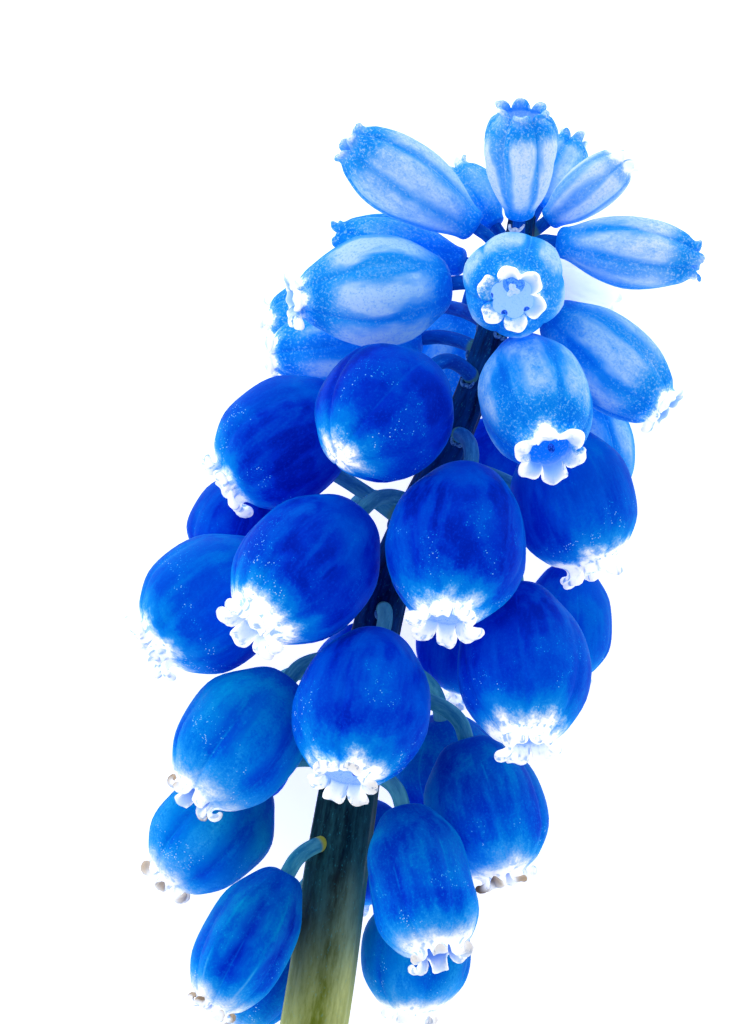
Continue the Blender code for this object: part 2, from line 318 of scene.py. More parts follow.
def add_stem():
    run, radii = stem_run(STEM_RINGS)
    turns = even_turns(STEM_SIDES)
    ribs = sum(share * np.cos(count * turns + count) for count, share in STEM_RIBS)
    rings = tube_rings(run, np.outer(radii, 1 + ribs), STEM_SIDES)
    sink = unit(run[1] - run[0]) * CUT_SINK
    reach = unit(run[-1] - run[-2]) * STEM_TIP
    rim = run[0] + (rings[0] - run[0]) * CUT_RIM + sink
    crest = run[-1] + (rings[-1] - run[-1]) * CREST + reach * CREST
    rings = np.concatenate(([rim], rings, [crest]))
    points, faces = closed_skin(rings, run[0] + sink * 2, run[-1] + reach)
    wide = np.concatenate(([radii[0] * CUT_RIM], radii, [radii[-1]]))
    place = stalk_place(wide, np.pad(lengths_along(run), 1, mode="edge"), STEM_SIDES)
    across = (rings[..., 0] - rings[..., 0].mean(axis=1)[:, None]) / wide[:, None]
    cut = np.zeros(len(points))
    cut[:STEM_SIDES] = 1.0
    cut[-2] = 1.0
    values = {"up": points[:, 1], "place": place, "cut": cut, "across": np.append(across, (0.0, 0.0))}
    stem = add_piece("cut_stem", points, faces, stem_material(), values)
    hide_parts("flower_stem")


add_stem()

# The places of the forty flowers, which nod on their feet and press against one another, so that
# each gives way a little to its neighbours, to the stem and to the ground. One in each line: its
# age, its foot and its mouth as x, y and height from the raceme's axis, and its girth.
BELLS = (
    ("crown", (4.4, 8.5, 0.4), (4.4, 11.2, 2.5), 2.1),
    ("crown", (5.0, 9.2, -1.0), (6.1, 11.3, -1.6), 1.7),
    ("crown", (5.2, 8.7, -0.2), (7.6, 10.6, 0.2), 1.6),
    ("crown", (5.5, 8.1, 0.3), (9.8, 7.5, 0.5), 2.2),
    ("crown", (3.1, 8.5, 0.5), (-0.8, 11.1, 1.1), 2.4),
    ("crown", (3.7, 8.6, -0.8), (2.5, 10.4, -1.5), 1.6),
    ("crown", (2.8, 7.5, -1.0), (-1.2, 8.3, -1.6), 2.0),
    ("crown", (5.1, 7.4, -1.6), (7.3, 6.6, -3.2), 1.8),
    ("young", (4.3, 7.0, 1.4), (4.1, 6.0, 5.5), 3.1),
    ("young", (4.4, 5.1, 1.4), (5.2, 1.8, 4.5), 3.4),
    ("young", (2.3, 6.8, 0.6), (-2.4, 6.3, 1.4), 3.5),
    ("young", (0.8, 6.2, -3.3), (-3.3, 5.7, -4.0), 2.6),
    ("young", (1.5, 5.3, -1.2), (-3.2, 4.8, -1.6), 2.4),
    ("young", (5.3, 6.0, -0.2), (8.8, 3.0, 0.4), 2.8),
    ("young", (6.5, 3.6, -2.4), (7.1, 0.3, -3.0), 2.4),
    ("young", (2.7, 6.5, -2.9), (2.1, 3.1, -4.4), 2.9),
    ("closed", (1.8, 3.8, 2.0), (-0.9, 1.2, 4.5), 4.1),
    ("ripe", (-0.4, -0.1, 2.4), (-3.6, -3.5, 4.2), 4.1),
    ("ripe", (2.6, 1.5, 2.6), (2.0, -3.1, 5.2), 4.2),
    ("ripe", (4.2, -2.1, 1.8), (4.6, -6.9, 3.6), 3.9),
    ("ripe", (0.2, -3.7, 2.3), (-0.9, -7.9, 5.2), 4.1),
    ("ripe", (-0.6, 3.3, 1.0), (-4.2, 0.8, 0.8), 3.8),
    ("ripe", (-3.1, 0.8, -2.7), (-4.2, -2.1, -3.1), 2.9),
    ("ripe", (-2.9, -1.3, 0.0), (-6.6, -4.0, 0.4), 4.0),
    ("ripe", (4.5, 2.1, 0.5), (5.3, -2.1, 1.1), 3.8),
    ("ripe", (6.0, -1.6, -2.3), (5.8, -5.2, -2.7), 2.8),
    ("ripe", (3.9, 2.8, -3.5), (3.2, -0.8, -4.4), 3.5),
    ("ripe", (-0.9, -0.4, -3.4), (-2.2, -3.3, -4.2), 3.6),
    ("ripe", (-0.1, -3.0, -3.3), (-0.4, -6.1, -4.3), 3.3),
    ("ripe", (2.9, -2.3, -3.5), (2.8, -5.7, -4.5), 3.3),
    ("spent", (-2.5, -5.0, 1.2), (-5.4, -8.6, 2.2), 3.7),
    ("spent", (-3.4, -8.0, -1.6), (-6.3, -11.2, -1.8), 3.4),
    ("spent", (2.8, -6.8, 0.2), (4.0, -11.1, 0.5), 3.6),
    ("spent", (-2.3, -10.8, 1.0), (-4.7, -14.9, 1.5), 2.9),
    ("spent", (0.9, -8.8, 2.2), (2.0, -13.2, 3.9), 3.2),
    ("spent", (1.5, -11.4, -1.2), (1.1, -15.3, -1.6), 3.3),
    ("spent", (-2.2, -11.9, -1.5), (-4.0, -15.7, -2.2), 2.7),
    ("spent", (-3.3, -5.9, -3.0), (-4.6, -8.8, -4.3), 3.2),
    ("spent", (2.1, -6.3, -3.2), (2.5, -9.6, -4.4), 3.3),
    ("spent", (-0.2, -8.9, -3.4), (-0.1, -12.0, -4.6), 3.1),
)
# How far up the raceme a pedicel springs from the stem, counted from its bell's foot.
PEDICEL_LIFT = {"crown": -0.7, "young": 0.2, "closed": 0.5, "ripe": 0.8, "spent": 1.0}
PEDICEL_RADIUS = 0.34
PEDICEL_STEPS = 4
PEDICEL_ARCH = 0.28  # how far its ends keep their direction, as a part of its span
PEDICEL_RISE = 0.3  # how much it leans up the stem where it leaves it
BELL_GAP = 0.3  # from the end of a pedicel to its bell, in the places alone
UP_THE_RACEME = np.array((0.3, 0.954, 0.0))
STEM_MARKS = 12  # marks that pedicels grow from, on each stretch of the stem's route
MARKS, MARK_RADII = stem_run(STEM_MARKS)
BALL_STRETCHES = np.array((0.14, 0.3, 0.5, 0.7, 0.9))  # balls that fill a bell
BALL_WIDTHS = np.array((0.38, 0.78, 1.0, 0.88, 0.52))
EASE_ROUNDS = 400
EASE_SHARE = np.array((0.09, 0.09, 0.25))  # bells give way up and down more than sideways
CLEARANCE = 0.15
STRETCHES = (0.0, 0.1, 0.28, 0.5, 0.71, 0.87, 0.93)  # of a bell's length
WIDTHS = {  # of its outline there, for half its girth
    "crown": (0.18, 0.5, 0.82, 1.0, 0.96, 0.76, 0.6),
    "young": (0.2, 0.58, 0.9, 1.0, 0.92, 0.68, 0.5),
    "closed": (0.2, 0.6, 0.92, 1.0, 0.86, 0.54, 0.34),
    "ripe": (0.2, 0.6, 0.9, 1.0, 0.95, 0.68, 0.47),
    "spent": (0.2, 0.6, 0.92, 1.0, 0.93, 0.66, 0.44),
}
RESTING_BELLS = (16, 38, 39)  # counted from one: the three under it that carry the raceme


def pedicel_run(age, foot, mouth, steps=PEDICEL_STEPS):
    """An arch from the middle of the stem to just short of a bell's foot."""
    axis = unit(mouth - foot)
    end = foot - axis * BELL_GAP
    aim = foot + UP_THE_RACEME * PEDICEL_LIFT[age]
    root = MARKS[np.argmin(np.linalg.norm(MARKS - aim, axis=1))]
    span = end - root
    outward = unit(span - UP_THE_RACEME * span.dot(UP_THE_RACEME))
    reach = PEDICEL_ARCH * np.linalg.norm(span)
    leave = root + reach * (outward + PEDICEL_RISE * UP_THE_RACEME)
    arrive = end - reach * axis
    t = np.linspace(0, 1, steps + 1)[:, None]
    s = 1 - t
    return root * s ** 3 + leave * 3 * t * s ** 2 + arrive * 3 * t ** 2 * s + end * t ** 3


def overlap_push(balls, reach, owners, posts, post_reach, post_owners):
    """For each ball, the way out of the posts of other owners that it overlaps, half way."""
    apart = balls[:, None] - posts[None]
    distance = np.maximum(np.linalg.norm(apart, axis=2), 1e-6)
    overlap = np.maximum(reach[:, None] + post_reach[None] - distance, 0)
    overlap[owners[:, None] == post_owners[None]] = 0
    return (apart / distance[..., None] * overlap[..., None] / 2).sum(axis=1)


def eased_bells():
    """The feet and mouths of the bells, eased off one another, off the stem and off the ground."""
    lift = np.array((0.0, 0.0, AXIS_HEIGHT))
    feet = np.array([row[1] for row in BELLS]) + lift
    mouths = np.array([row[2] for row in BELLS]) + lift
    lengths = np.linalg.norm(mouths - feet, axis=1)[:, None]
    stretch = BALL_STRETCHES[None, :, None]
    reach = np.outer([row[3] / 2 for row in BELLS], BALL_WIDTHS).ravel() + CLEARANCE / 2
    owners = np.repeat(np.arange(len(BELLS)), len(BALL_STRETCHES))
    post_owners = np.concatenate((np.full(len(MARKS), -1), np.repeat(range(len(BELLS)), PEDICEL_STEPS)))
    pedicel_radii = np.full(len(BELLS) * PEDICEL_STEPS, PEDICEL_RADIUS)
    post_reach = np.concatenate((MARK_RADII, pedicel_radii)) + 2 * CLEARANCE
    for _ in range(EASE_ROUNDS):
        arches = [pedicel_run(row[0], foot, mouth)[1:] for row, foot, mouth in zip(BELLS, feet, mouths)]
        posts = np.concatenate((MARKS, *arches))
        balls = (feet[:, None] + (mouths - feet)[:, None] * stretch).reshape(-1, 3)
        push = overlap_push(balls, reach, owners, balls, reach, owners)
        push += 2 * overlap_push(balls, reach, owners, posts, post_reach, post_owners)
        push[:, 2] += 2 * np.maximum(reach - balls[:, 2], 0)
        push = (push * EASE_SHARE).reshape(len(BELLS), -1, 3)
        feet = feet + (push * (1 - stretch)).sum(axis=1)
        mouths = mouths + (push * stretch).sum(axis=1)
        axes = (mouths - feet) / np.linalg.norm(mouths - feet, axis=1)[:, None]
        mouths = feet + axes * lengths
    return feet, mouths


def settled_bells():
    """The same, with the three that carry the raceme let down until they touch the ground."""
    feet, mouths = eased_bells()
    for k in [number - 1 for number in RESTING_BELLS]:
        age, _, _, girth = BELLS[k]
        span = mouths[k] - feet[k]
        level_share = math.hypot(span[0], span[1]) / np.linalg.norm(span)
        middles = feet[k][2] + span[2] * np.array(STRETCHES)
        drop = np.min(middles - np.array(WIDTHS[age]) * girth / 2 * level_share)
        feet[k][2] -= drop
        mouths[k][2] -= drop
    return feet, mouths


FEET, MOUTHS = settled_bells()

# The pedicels: a short stalk for each flower, round and smooth, teal low on the raceme and navy
# higher up, with pale flecks. Each springs from the stem, arches over and widens into the flower's
# foot. Those of the buds are short and dark, and those of the oldest flowers are the longest.
STALK_SIDES = 20
STALK_STEPS = 30
STALK_RADIUS = {"crown": 0.19, "young": 0.22, "closed": 0.23, "ripe": 0.23, "spent": 0.24}
STALK_FLARE = 0.05  # how much wider it is where it leaves the stem
FLARE_REACH = 0.18  # the stretch over which that fades
SEAT_DEPTH = 0.02  # where it meets the skin of its flower's foot, for a girth of 1
STALK_DEPTH = 0.25  # how far it runs into the foot of its flower
STALK_SHIFT = np.array((5.3, 2.1, 7.7))  # from one stalk's fibres to the next one's


def colour_and_glow(shader, colour):
    """The same colour for the light it sends back and for a painted glow of its own, which stands for light
    coming through it.
    """
    for label in ("Base Color", "Emission Color"):
        colour.id_data.links.new(colour, shader.inputs[label])


def pedicel_material():
    # The pedicel's emission is a painted glow in its own colour, standing for light coming through it.
    material, tree, shader = start_material(
        "pedicel_skin", roughness=0.6, specular_ior_level=0.02, sheen_weight=0.15, sheen_roughness=0.3,
        sheen_tint=(0.0, 0.55, 0.95, 1.0), emission_strength=0.2)
    up = kept_value(tree, "up")
    fibres = use_group(tree, STALK_FIBRES, {"Reach": 1.0})
    teal = blend(fibres["Streak"], (0.002, 0.12, 0.27), (0.08, 0.35, 0.45))
    navy = blend(fibres["Streak"], (0.0, 0.03, 0.3), (0.002, 0.13, 0.6))
    whole = blend(ramp(up, -1.0, 4.5), teal, navy)
    root = ramp(kept_value(tree, "clear"), 0.06, 0.22)
    collar = blend(ramp(up, -9.0, -3.0), (0.3, 0.34, 0.05), (0.04, 0.16, 0.2))
    rooted = blend(root, collar, whole)
    pale = blend(multiplied(fibres["Fleck"], 0.22), rooted, (0.1, 0.55, 0.8))
    colour_and_glow(shader, pale)
    bump(shader, fibres["Height"], 0.35, 0.03)
    return material


def pedicel_skin(k):
    """Points, faces and kept values of one pedicel."""
    age, _, _, girth = BELLS[k]
    axis = unit(MOUTHS[k] - FEET[k])
    run = pedicel_run(age, FEET[k], MOUTHS[k], STALK_STEPS)
    run = np.concatenate((run, [FEET[k] + axis * girth * SEAT_DEPTH, FEET[k] + axis * STALK_DEPTH]))
    t = np.linspace(0, 1, len(run))
    radii = STALK_RADIUS[age] + STALK_FLARE * np.exp(-(t / FLARE_REACH) ** 2)
    points, faces = closed_skin(tube_rings(run, radii, STALK_SIDES), run[0], run[-1])
    place = stalk_place(radii, lengths_along(run), STALK_SIDES) + STALK_SHIFT * k
    out_of_stem = (np.linalg.norm(run[:, None] - MARKS[None], axis=2) - MARK_RADII).min(axis=1)
    clear = np.append(np.repeat(out_of_stem, STALK_SIDES), out_of_stem[[0, -1]])
    return points, faces, {"up": points[:, 1], "place": place, "clear": clear}


def add_joined(name, skins, material):
    """One piece from several closed skins, each with its points, its faces and its kept values."""
    points, faces, values = zip(*skins)
    starts = [sum(len(part) for part in points[:k]) for k in range(len(points))]
    faces = [tuple(start + number for number in face) for start, skin in zip(starts, faces) for face in skin]
    values = {key: np.concatenate([kept[key] for kept in values]) for key in values[0]}
    return add_piece(name, np.concatenate(points), faces, material, values)


pedicels = add_joined("pedicels", [pedicel_skin(k) for k in range(len(BELLS))], pedicel_material())
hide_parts("flower_stem")

# The bracts: a tiny whitish scale with two horns where each pedicel leaves the stem, on the side
# that faces the stem's foot. They are thin and dry, and are all that is left of a leaf.
BRACT_HALF = 0.21  # half its width
BRACT_RADIUS = 0.06
BRACT_SEAT = 0.4 * BRACT_RADIUS  # how far out from the stem's skin its middle line runs
BRACT_TAPER = 0.35  # how near its horns come to a point: the less, the nearer
BRACT_RUN = ((-1.0, 0.9), (-0.85, 0.35), (-0.45, -0.05), (0.0, 0.15), (0.45, -0.05), (0.85, 0.35), (1.0, 0.9))
TOP_BRACT = (4.24, 8.38, AXIS_HEIGHT + 1.68)  # the topmost, high on the first bud's pedicel
BRACT_SIDES = 10
BRACT_STEPS = 4


def placed(points, faces):
    """A skin whose points keep their own place."""
    return points, faces, {"place": points}


def bract_skin(seat, aside):
    """A scale with two horns, which sits on the stem there and points up the raceme."""
    run = smooth_run([seat + BRACT_HALF * (aside * x + UP_THE_RACEME * y) for x, y in BRACT_RUN], BRACT_STEPS)
    taper = np.sin(np.linspace(BRACT_TAPER, np.pi - BRACT_TAPER, len(run))) ** 0.5
    rings = tube_rings(run, BRACT_RADIUS * taper, BRACT_SIDES)
    return placed(*closed_skin(rings, run[0], run[-1]))


def bract_under(k):
    """The bract of one pedicel."""
    age = BELLS[k][0]
    root = pedicel_run(age, FEET[k], MOUTHS[k])[0]
    nearest = np.argmin(np.linalg.norm(MARKS - root, axis=1))
    span = FEET[k] - root
    outward = unit(span - UP_THE_RACEME * span.dot(UP_THE_RACEME))
    aside = np.cross(outward, UP_THE_RACEME)
    seat = root + outward * (MARK_RADII[nearest] + BRACT_SEAT) - UP_THE_RACEME * STALK_RADIUS[age]
    return bract_skin(seat, aside)


def bract_material():
    # The bract's faint emission is a painted glow in its own colour.
    material, tree, shader = start_material(
        "bract_skin", roughness=0.6, specular_ior_level=0.1, emission_strength=0.1)
    grain = noise(kept_place(tree), 9.0, 3.0, roughness=0.7)
    up = add_node("SeparateXYZ", {0: kept_place(tree)}).outputs[1]
    low = blend(ramp(grain, 0.4, 0.62), (0.01, 0.08, 0.3), (0.1, 0.3, 0.6))
    high = blend(ramp(grain, 0.4, 0.62), (0.35, 0.52, 0.75), (0.8, 0.88, 0.95))
    colour = blend(ramp(up, 7.6, 8.0), low, high)
    colour_and_glow(shader, colour)
    bump(shader, grain, 0.4, 0.03)
    return material


bracts = add_joined("bracts", [bract_under(k) for k in range(len(BELLS))]
                    + [bract_skin(np.array(TOP_BRACT), np.array((1.0, 0.0, 0.0)))], bract_material())

# The skin of a bell: six tepals grown together into an urn, with shallow furrows where they meet.
# Their free ends are six thick little lobes that curl back round the mouth. It is one skin, from
# the foot, over the lobes and down its lining, so it is closed and has a true thickness.
LOBES = 6
LOBE_COLUMNS = 16
COLUMN_CROWDING = 0.45  # how far the columns crowd towards the notches between lobes
WALL_STEPS = 4  # from one point of the outline to the next
LOBE_STEPS = 12
BEAD_STEPS = 6  # round the edge of a lobe
LINING_ROWS = 9
LINING_TOP = 3  # its first ring, counted back from the neck
LINING_DEPTH = 0.4  # the stretch of the floor of the hollow
FLOOR_DEPTH = 0.97  # of the floor's middle, for that
NECK = STRETCHES[-1]
DRAWN_FROM, DRAWN_OVER = 0.55, 0.35  # the stretch where a neck begins to draw in, and over how much
BEAD_UNEVENNESS = 0.16
GOLDEN_ANGLE = math.radians(137.5)  # from one bell's lobes to the next one's
SEAM_WIDTH = 0.12  # of the crease between two tepals, for half of one
LINING_FADE = 3.0  # how soon the look of the lining ends on a lobe's face
INNER_SHADE_FADE = 2.2  # how soon the painted bluer shade on the lobes' inner faces does
BELL_SHIFT = np.array((7.3, 3.1, 5.9))  # from one bell's clouds to the next one's
PLAIN_SHAPE = {"turned": 0.0, "neck": 1.0, "whiten": 0.0, "withered": 0.0}


def outline_of(age, length, girth):
    """The wall's outline from the middle of its foot to its neck, as rows of radius and length."""
    widths = list(zip(STRETCHES, WIDTHS[age]))
    foot = [(0.03, 0.0), (0.008, 0.1), (0.0, 0.24), (0.028, 0.42)]
    points = [np.array((width * girth / 2, stretch * length)) for stretch, width in foot + widths[1:]]
    return smooth_run(points, WALL_STEPS)


def wavering(rng, turns, heights, waves):
    """A smooth unevenness round and along a form; waves are how many round, along, and how high."""
    total = np.zeros((len(heights), len(turns)))
    for count, rows, size in waves:
        phase, lean, start = rng.uniform(0, 2 * np.pi, 3)
        swell = np.sin(rows * np.pi * heights + start)[:, None]
        total += size * np.cos(count * turns[None] + phase + 0.8 * np.sin(lean) * heights[:, None]) * swell
    return total


def lobe_draws(rng, variety, low, high):
    """One share for each lobe, held over its columns."""
    return np.repeat(rng.normal(1, variety, LOBES).clip(low, high), LOBE_COLUMNS)


def lobe_columns():
    """How far aside each column of a lobe is, from -1 to 1, crowding towards both edges."""
    even = np.arange(LOBE_COLUMNS) / LOBE_COLUMNS * 2 - 1
    return even * (1 - COLUMN_CROWDING) + np.sin(np.pi / 2 * even) * COLUMN_CROWDING


def pairs(first, second):
    return np.stack((first, second), axis=-1)


def bell_wall(rng, shape, outline, heights, turns, edge):
    """The wall, as rows of radius and height for each turn, and how high the keel of each tepal is."""
    furrow = np.interp(heights, (0.0, 0.2, 0.6, 0.93), np.array((0.0, 0.5, 0.7, 1.0)) * shape["furrow"])
    crease = np.interp(heights, (0.0, 0.45, 0.9), np.array((0.0, 0.15, 1.0)) * shape["crease"])
    keel = shape["keel"] * np.repeat(rng.uniform(0.1, 1, LOBES) ** 1.5, LOBE_COLUMNS)
    relief = 1 - furrow[:, None] * edge[None] ** 2 - shape["keel"] / 2 + (keel * (1 - edge) ** 1.5)[None]
    relief -= crease[:, None] * np.exp(-((1 - edge[None]) / SEAM_WIDTH) ** 2)
    relief += wavering(rng, turns, heights, shape["waves"])
    drawn_in = np.clip((heights - DRAWN_FROM) / DRAWN_OVER, 0, 1)[:, None] * (1 - shape["neck"])
    radii = outline[:, :1] * relief * (1 - drawn_in)
    return pairs(radii, np.repeat(outline[:, 1:], len(turns), axis=1)), keel


def lobe_tongue(shape, across):
    """How far out a lobe reaches at each column, for its full reach."""
    blunt = shape["blunt"]
    tongue = np.clip(1 - (np.abs(across) / shape["fullness"]) ** blunt, 0, 1) ** (1 / blunt)
    return shape["notch"] + (1 - shape["notch"]) * tongue


def curled_lobes(rng, shape, girth, across, neck, start):
    """The lobes' back, rim and face as rows of radius and height, and how far out on a lobe each row is.

    They leave the neck at the angle start from the bell's axis and curl on from there.
    """
    full = shape["lobe"] * girth * lobe_draws(rng, shape["variety"], 0.6, 1.35)
    end = math.radians(shape["curl"]) * lobe_draws(rng, shape["variety"], 0.6, 1.4)
    bead = shape["bead"] * girth * lobe_draws(rng, shape["variety"] / 2, 0.7, 1.3)
    bead = bead * (1 + BEAD_UNEVENNESS * np.cos(2 * np.pi * across + rng.uniform(0, 6.3)))
    tongue = lobe_tongue(shape, across)
    reach = np.linspace(0, 1, LOBE_STEPS + 1)[:, None] * (tongue * full)[None]
    share = reach / full[None]
    angles = start + (end - start)[None] * share ** shape["scroll"]
    middle_angles = (angles[1:] + angles[:-1]) / 2
    steps = pairs(np.sin(middle_angles), np.cos(middle_angles)) * np.diff(reach, axis=0)[..., None]
    back = np.concatenate((neck[None], neck + np.cumsum(steps, axis=0)))
    wall = shape["wall"] * girth
    swell = np.clip((share - 0.2) / 0.6, 0, 1)
    thick = wall + (bead[None] - wall) * (swell * swell * (3 - 2 * swell) * tongue[None])
    inward = pairs(-np.cos(angles), np.sin(angles))
    face = back + thick[..., None] * inward
    swing = np.linspace(0, np.pi, BEAD_STEPS + 2)[1:-1, None]
    up, out = (wave(swing) * thick[-1][None] / 2 for wave in (np.cos, np.sin))
    rim = (back[-1] + face[-1]) / 2 - up[..., None] * inward[-1]
    rim = rim + out[..., None] * pairs(np.sin(angles[-1]), np.cos(angles[-1]))
    return back, rim, face, share


def bell_lining(wall, heights, length, thickness):
    """The lining inside a wall, as rows of radius and height."""
    levels = np.linspace(heights[-LINING_TOP], LINING_DEPTH, LINING_ROWS)
    columns = wall[WALL_STEPS:, :, 0].T
    radii = np.array([np.interp(levels, heights[WALL_STEPS:], column) for column in columns]).T - thickness
    return pairs(radii, np.repeat(levels[:, None] * length, len(columns), axis=1))


def over_skin(wall, back, rim, face, lining):
    """Rows over a bell's whole skin: up its wall, over its lobes and down its lining."""
    return np.concatenate((wall[1:], back[1:], rim, face[::-1], lining))


def skin_values(wall, share, lining):
    """How far along a bell each row and column is, how far out on a lobe, and how far inside."""
    at_wall, at_lining = np.zeros(wall.shape), np.ones(lining.shape)
    rim = share[-1:].repeat(BEAD_STEPS, axis=0)
    outside = at_wall, share * 0, rim * 0
    turned_in = np.clip(np.linspace(1, 0, LOBE_STEPS + 1)[:, None] * INNER_SHADE_FADE, 0, 1)
    turned_in = turned_in.repeat(wall.shape[1], axis=1)
    lobes = [NECK + (1 - NECK) * rows for rows in (share, rim, share)]
    return {"along": over_skin(wall, *lobes, lining),
            "lobe": over_skin(at_wall, share, rim, share, at_lining * 0),
            "inside": over_skin(*outside, np.clip(1 - share * LINING_FADE, 0, 1), at_lining),
            "inner": over_skin(*outside, turned_in, at_lining)}


def bell_values(number, shape, grids, turns, radii, levels):
    """What the points of a bell keep: its grids with their two poles, its place and its looks."""
    poles = {"along": (0.0, LINING_DEPTH), "edge": (0.5, 0.5), "inside": (0.0, 1.0), "inner": (0.0, 1.0)}
    values = {key: np.append(grid, poles.get(key, (0.0, 0.0))) for key, grid in grids.items()}
    place = np.stack((radii * np.cos(turns), radii * np.sin(turns), levels), axis=-1).reshape(-1, 3)
    ends = [(0.0, 0.0, 0.0), (0.0, 0.0, levels[-1, 0])]
    values["place"] = np.concatenate((place, ends)) + BELL_SHIFT * number
    for key in ("tone", "glow", "azure", "whiten", "withered"):
        values[key] = np.full(len(place) + len(ends), shape[key])
    return values


def bell_skin(number, shape):
    """Points, faces and kept values of one bell."""
    age, _, _, girth = BELLS[number - 1]
    foot, span = FEET[number - 1], MOUTHS[number - 1] - FEET[number - 1]
    rng = np.random.default_rng(number)
    length = np.linalg.norm(span)
    across = np.tile(lobe_columns(), LOBES)
    edge = np.abs(across)
    first = GOLDEN_ANGLE * (number - 1) + math.radians(shape["turned"])
    turns = first + (np.arange(LOBES).repeat(LOBE_COLUMNS) + (across + 1) / 2) * math.pi / 3
    outline = outline_of(age, length, girth)
    heights = outline[:, 1] / length
    wall, keel = bell_wall(rng, shape, outline, heights, turns, edge)
    start = math.atan2(*(outline[-1] - outline[-2]))
    back, rim, face, share = curled_lobes(rng, shape, girth, across, wall[-1], start)
    lining = bell_lining(wall, heights, length, shape["wall"] * girth)
    radii, levels = np.moveaxis(over_skin(wall, back, rim, face, lining), -1, 0)
    level, rise = side_directions(unit(span))
    spokes = np.cos(turns)[:, None] * level + np.sin(turns)[:, None] * rise
    rings = foot + radii[..., None] * spokes[None] + levels[..., None] * unit(span)
    floor = foot + LINING_DEPTH * FLOOR_DEPTH * span
    points, faces = closed_skin(rings, foot + outline[0, 1] * unit(span), floor)
    grids = skin_values(wall[..., 1] / length, share, lining[..., 1] / length)
    grids["edge"], grids["keel"] = (np.tile(row, (len(radii), 1)) for row in (edge, keel))
    return points, faces, bell_values(number, shape, grids, turns, radii, levels)


def whiteness(tree, given, noises, wander, edge):
    """How far a place is past the ragged border of the white mouth."""
    ragged = added(wander, off_middle(noises["grain"], 0.07), multiplied(edge, edge, -0.03),
                   off_middle(noises["streak"], 0.12), kept_value(tree, "whiten"))
    past = maths("SUBTRACT", ragged, given["White From"])
    return maths("DIVIDE", past, given["White Softness"])


def pale_middle(given, noises, wander, edge):
    """The pale patch down the middle of a tepal, which is mottled and frays at its sides."""
    spread = added(edge, off_middle(noises["cloud"], given["Patch Wander"]),
                   off_middle(noises["broad"], 1.3), off_middle(noises["grain"], 0.6),
                   off_middle(noises["streak"], 1.5))
    middle = ramp(maths("DIVIDE", spread, given["Patch Width"]), 0.3, 1.45, 1.0, 0.0)
    rise = ramp(maths("SUBTRACT", wander, given["Patch From"]), 0.0, 0.25)
    fall = ramp(maths("SUBTRACT", given["Patch To"], wander), 0.0, 0.2)
    return multiplied(middle, rise, fall, ramp(noises["mottling"], 0.3, 0.66, 0.66, 1.12))


def painted_glints(place, wander, groups):
    """Painted glints: tiny dots of painted highlight, in groups, more of them near the mouth."""
    cells = add_node("TexVoronoi", {0: place, 2: 13.0}).outputs["Distance"]
    return multiplied(ramp(cells, 0.16, 0.33, 1.0, 0.0),
                      ramp(noise(place, 5.0), 0.44, 0.6, 0.1, 1.0),
                      ramp(wander, 0.3, 0.75, 0.15, 1.0), ramp(groups, 0.52, 0.6))


def fine_lines(tree, noises, along, edge):
    """Painted highlights on the folds down the middles of keeled tepals, and pale lines on parts of the seams
    between tepals.
    """
    fold_highlights = multiplied(ramp(edge, 0.0, 0.12, 1.0, 0.0),
                       ramp(kept_value(tree, "keel"), 0.02, 0.08),
                       ramp(noises["cloud"], 0.34, 0.5), ramp(along, 0.1, 0.6, 0.15, 1.0))
    seams = multiplied(ramp(edge, 0.94, 1.0, 0.0, 0.5), ramp(noises["gaps"], 0.5, 0.64))
    return maths("MAXIMUM", seams, fold_highlights)


def make_petal_marks():
    """What marks the skin of a bell: its white mouth, pale middles of tepals, clouds, lines and specks."""
    tree, given = start_group("petal_marks", {
        "White From": 0.9, "White Softness": 0.06, "Patch From": 0.1, "Patch To": 0.85,
        "Patch Width": 0.55, "Patch Wander": 0.9})
    place = kept_place(tree)
    along = kept_value(tree, "along")
    edge = kept_value(tree, "edge")
    noises = {
        "broad": noise(place, 0.42, 1.0),
        "cloud": noise(place, 0.62, 2.5, (1.0, 1.0, 0.6)),
        "streak": noise(place, 2.0, 3.0, (1.0, 1.0, 0.18), 0.55),
        "grain": noise(place, 14.0, 3.0, (0.9, 0.9, 0.8), 0.75),
        "crease_shading": noise(place, 5.0, 2.0, (1.0, 1.0, 0.14), 0.6),
        "mottling": noise(place, 2.6, 4.0, (1.0, 1.0, 0.6), 0.75),
        "gaps": noise(place, 0.9, 2.0, (1.0, 1.0, 0.6)),
        "groups": noise(place, 0.8, 3.0)}
    cloud, streak, grain, groups = (noises[key] for key in ("cloud", "streak", "grain", "groups"))
    wander = added(along, off_middle(cloud, 0.2))
    white = whiteness(tree, given, noises, wander, edge)
    crowding = ramp(wander, 0.45, 0.9, 0.8, 1.2)
    return end_group(tree, {
        "White": ramp(white, 0.0, 1.0),
        "Haze": ramp(white, -1.5, 0.5),
        "Crease": ramp(noises["crease_shading"], 0.52, 0.68),
        # Glow: lighter towards the mouth, partly the tepals' own paler colour and partly painted light.
        "Glow": ramp(wander, 0.52, 1.0),
        "Patch": pale_middle(given, noises, wander, edge),
        "Cloud": ramp(cloud, 0.36, 0.62),
        "Streak": ramp(streak, 0.4, 0.68),
        "Speck": multiplied(ramp(grain, 0.49, 0.7), crowding),
        "Dark": ramp(grain, 0.26, 0.54, 1.0, 0.0),
        # Shine: a painted highlight round the groups of glints.
        "Shine": ramp(groups, 0.46, 0.66),
        "Glint": painted_glints(place, wander, groups),
        "Line": fine_lines(tree, noises, along, edge),
        "Height": added(multiplied(grain, 0.55), multiplied(streak, 0.45))})


